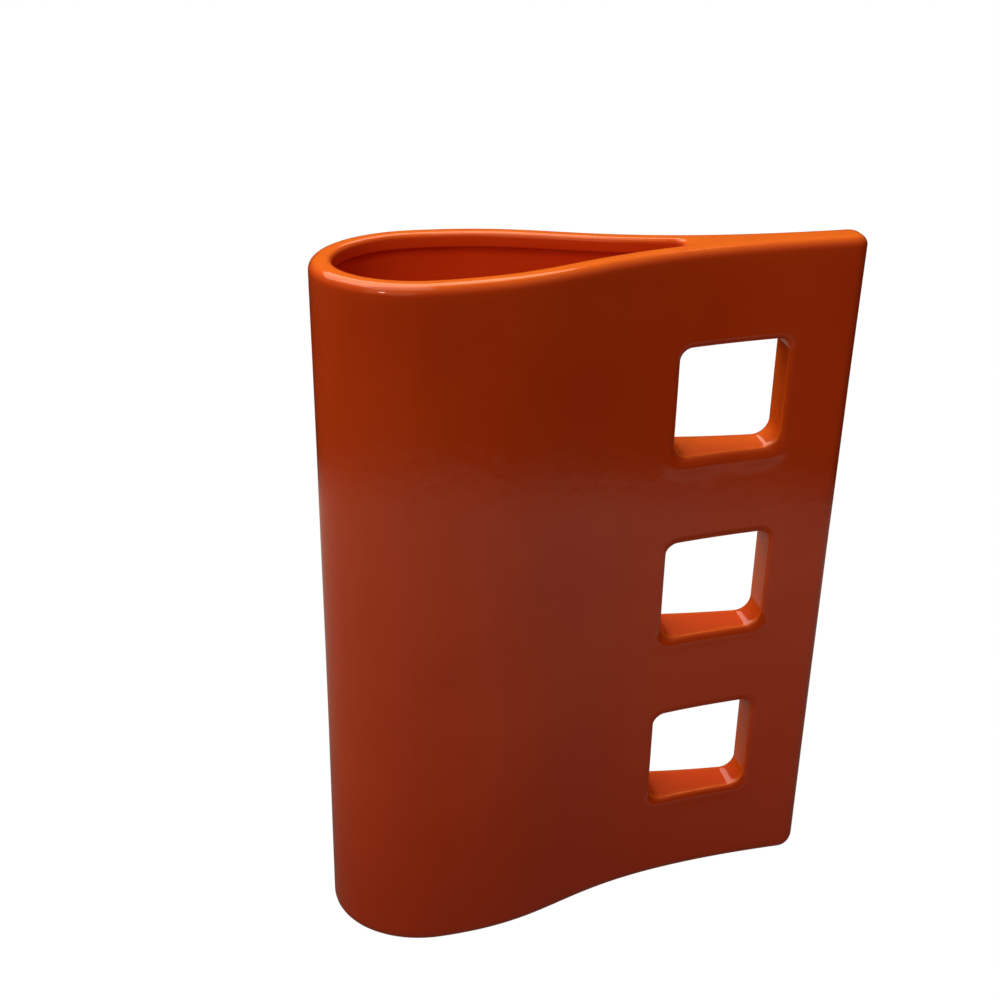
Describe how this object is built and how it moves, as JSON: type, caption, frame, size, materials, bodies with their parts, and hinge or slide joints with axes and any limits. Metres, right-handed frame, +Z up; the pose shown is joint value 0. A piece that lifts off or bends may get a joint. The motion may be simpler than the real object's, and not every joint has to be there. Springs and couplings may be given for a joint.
{
  "type": "vase",
  "caption": "Tall teardrop-plan vase in glossy glazed ceramic, with an open mouth at the round end and square windows through the flat fin.",
  "frame": {"origin": "on the table, under the middle of the overall box", "axes": "+X from the round nose to the fin's edge, +Y through the fin's thickness, +Z up"},
  "size_m": [0.216, 0.07, 0.3],
  "materials": {
    "glaze": "glossy orange-red glaze",
    "bisque": "matte fired clay",
    "bare_foot": "matte bare clay, lightly rubbed"
  },
  "bodies": {
    "root": {"foot_ring": "bare_foot", "base_slab": "bisque", "front_wall": "bisque", "back_wall": "bisque", "window_sleeve_lower": "bisque", "window_sleeve_middle": "bisque", "window_sleeve_upper": "bisque", "mouth_rim": "bisque", "glaze_coat": "glaze"}
  },
  "joints": []
}
